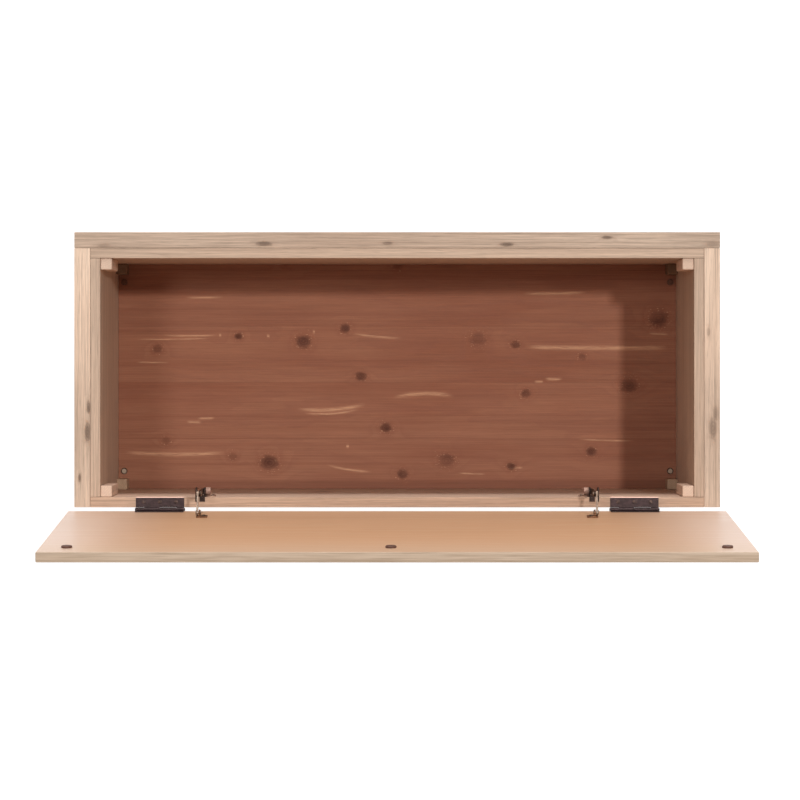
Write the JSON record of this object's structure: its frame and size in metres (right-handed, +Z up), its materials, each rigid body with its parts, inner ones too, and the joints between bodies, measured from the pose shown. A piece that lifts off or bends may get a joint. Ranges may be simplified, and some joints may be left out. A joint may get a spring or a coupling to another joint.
{
  "type": "storage chest",
  "caption": "Long low wooden storage chest with a cedar-lined floor, double-board walls, square feet, and a hinged lid held open by damped parallelogram stays.",
  "frame": {"origin": "on the floor, at the bottom centre of the box around the chest and its open lid", "axes": "+X along the chest towards its right end seen from the front, -Y out of the front board, +Z up"},
  "size_m": [1.035, 0.4907, 0.9004],
  "materials": {
    "outer_wood": "matt oil over open grain",
    "inner_wood": "matt oil",
    "rear_wood": "matt oil",
    "block_wood": "bare sawn softwood, end grain up",
    "lid_wood": "satin lacquered veneer",
    "cedar": "satin, unfinished aromatic cedar with knots",
    "plywood": "bare plywood and pine",
    "hinge_bronze": "dark bronze, satin",
    "stay_dark": "dark grey, satin",
    "stay_steel": "plain steel, satin",
    "bolt_steel": "zinc plated, bright",
    "bumper_rubber": "matt dark brown"
  },
  "bodies": {
    "root": {"front_outer_panel": "outer_wood", "front_inner_panel": "inner_wood", "rear_panel": "rear_wood", "side_outer_panel_left": "outer_wood", "side_inner_panel_left": "inner_wood", "side_outer_panel_right": "outer_wood", "side_inner_panel_right": "inner_wood", "floor_panel": "plywood", "cedar_lining": "cedar", "floor_cleat_front": "plywood", "floor_cleat_rear": "plywood", "floor_cleat_left": "plywood", "floor_cleat_right": "plywood", "upper_corner_block_front_left": "block_wood", "lower_corner_block_front_left": "block_wood", "foot_front_left": "outer_wood", "foot_bolt_front_left": "bolt_steel", "upper_corner_block_front_right": "block_wood", "lower_corner_block_front_right": "block_wood", "foot_front_right": "outer_wood", "foot_bolt_front_right": "bolt_steel", "upper_corner_block_rear_left": "block_wood", "lower_corner_block_rear_left": "block_wood", "foot_rear_left": "outer_wood", "foot_bolt_rear_left": "bolt_steel", "upper_corner_block_rear_right": "block_wood", "lower_corner_block_rear_right": "block_wood", "foot_rear_right": "outer_wood", "foot_bolt_rear_right": "bolt_steel", "hinge_body_leaf_left": "hinge_bronze", "hinge_pin_left": "hinge_bronze", "stay_bracket_left": "stay_dark", "stay_damper_left": "stay_dark", "hinge_body_leaf_right": "hinge_bronze", "hinge_pin_right": "hinge_bronze", "stay_bracket_right": "stay_dark", "stay_damper_right": "stay_dark"},
    "lid": {"lid_panel": "lid_wood", "lid_bumper_left": "bumper_rubber", "lid_bumper_middle": "bumper_rubber", "lid_bumper_right": "bumper_rubber", "hinge_lid_leaf_left": "hinge_bronze", "stay_lid_bracket_left": "stay_dark", "stay_lid_rivet_left": "stay_steel", "hinge_lid_leaf_right": "hinge_bronze", "stay_lid_bracket_right": "stay_dark", "stay_lid_rivet_right": "stay_steel"},
    "left_arm": {"stay_arm_left": "stay_dark", "stay_shaft_left": "stay_steel", "stay_arm_rivet_left": "stay_steel"},
    "left_link": {"stay_link_left": "stay_steel"},
    "right_arm": {"stay_arm_right": "stay_dark", "stay_shaft_right": "stay_steel", "stay_arm_rivet_right": "stay_steel"},
    "right_link": {"stay_link_right": "stay_steel"}
  },
  "joints": [
    {"name": "lid_hinge", "type": "hinge", "parent": "root", "child": "lid", "pos_m": [0, 0.19097, 0.4418], "axis": [1, 0, 0], "range_deg": [0, 94.7]},
    {"name": "left_arm_pivot", "type": "hinge", "parent": "root", "child": "left_arm", "pos_m": [-0.3096, 0.16257, 0.4258], "axis": [1, 0, 0], "range_deg": [0, 94.7]},
    {"name": "left_link_pivot", "type": "hinge", "parent": "left_arm", "child": "left_link", "pos_m": [-0.3096, 0.16328, 0.504], "axis": [1, 0, 0], "range_deg": [-94.7, 0]},
    {"name": "right_arm_pivot", "type": "hinge", "parent": "root", "child": "right_arm", "pos_m": [0.3096, 0.16257, 0.4258], "axis": [1, 0, 0], "range_deg": [0, 94.7]},
    {"name": "right_link_pivot", "type": "hinge", "parent": "right_arm", "child": "right_link", "pos_m": [0.3096, 0.16328, 0.504], "axis": [1, 0, 0], "range_deg": [-94.7, 0]}
  ],
  "couplings": [
    {"joint": "left_arm_pivot", "follows": "lid_hinge", "ratio": 1},
    {"joint": "left_link_pivot", "follows": "lid_hinge", "ratio": -1},
    {"joint": "right_arm_pivot", "follows": "lid_hinge", "ratio": 1},
    {"joint": "right_link_pivot", "follows": "lid_hinge", "ratio": -1}
  ]
}
